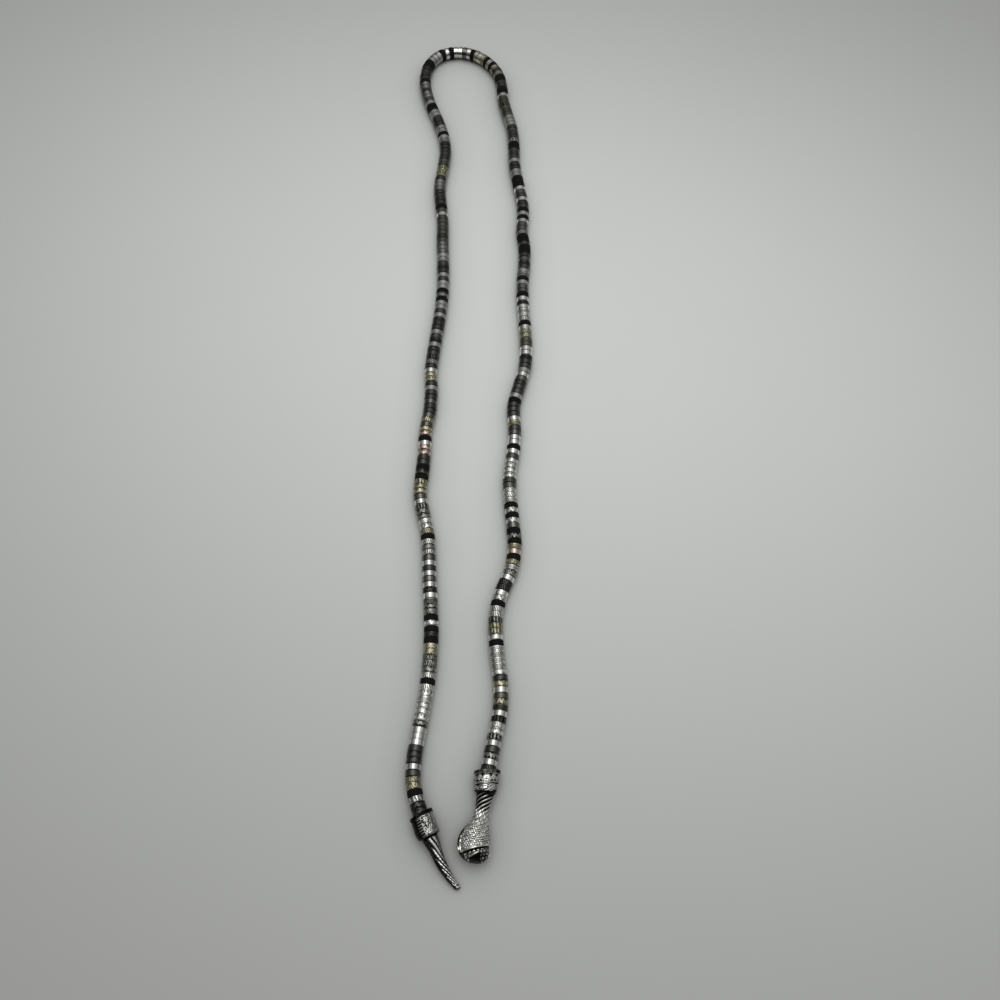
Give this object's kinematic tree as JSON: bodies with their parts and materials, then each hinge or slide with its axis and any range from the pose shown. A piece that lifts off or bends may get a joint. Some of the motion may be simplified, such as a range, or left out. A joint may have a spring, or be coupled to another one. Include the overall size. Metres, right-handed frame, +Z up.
{
  "type": "posable snake necklace",
  "caption": "Long posable necklace: a flexible tube of short jointed metal rings with a cast snake's head at one end and a fluted snake's tail at the other.",
  "frame": {"origin": "centre of the necklace's bounding box, on the surface that it lies on", "axes": "+Y along the strands from the two ends to the turn of the loop, +Z up, +X to the side of the head's strand"},
  "size_m": [0.0595, 0.4385, 0.0116],
  "materials": {
    "cast_silver": "cast alloy, bright silver plate, oxidised dark in the recesses",
    "ring_plating": "plated rings in bands: bright and satin silver, gunmetal, black, antique gold and copper, some engraved"
  },
  "bodies": {
    "root": {"snake_head": "cast_silver", "snake_tail": "cast_silver", "ring_run_01": "ring_plating", "ring_run_02": "ring_plating", "ring_run_03": "ring_plating", "ring_run_04": "ring_plating", "ring_run_05": "ring_plating", "ring_run_06": "ring_plating", "ring_run_07": "ring_plating", "ring_run_08": "ring_plating", "ring_run_09": "ring_plating", "ring_run_10": "ring_plating", "ring_run_11": "ring_plating", "ring_run_12": "ring_plating", "ring_run_13": "ring_plating", "ring_run_14": "ring_plating", "ring_run_15": "ring_plating", "ring_run_16": "ring_plating", "ring_run_17": "ring_plating", "ring_run_18": "ring_plating", "ring_run_19": "ring_plating", "ring_run_20": "ring_plating", "ring_run_21": "ring_plating", "ring_run_22": "ring_plating", "ring_run_23": "ring_plating", "ring_run_24": "ring_plating", "ring_run_25": "ring_plating", "ring_run_26": "ring_plating", "ring_run_27": "ring_plating", "ring_run_28": "ring_plating", "ring_run_29": "ring_plating", "ring_run_30": "ring_plating", "ring_run_31": "ring_plating", "ring_run_32": "ring_plating", "ring_run_33": "ring_plating", "ring_run_34": "ring_plating", "ring_run_35": "ring_plating"}
  },
  "joints": []
}
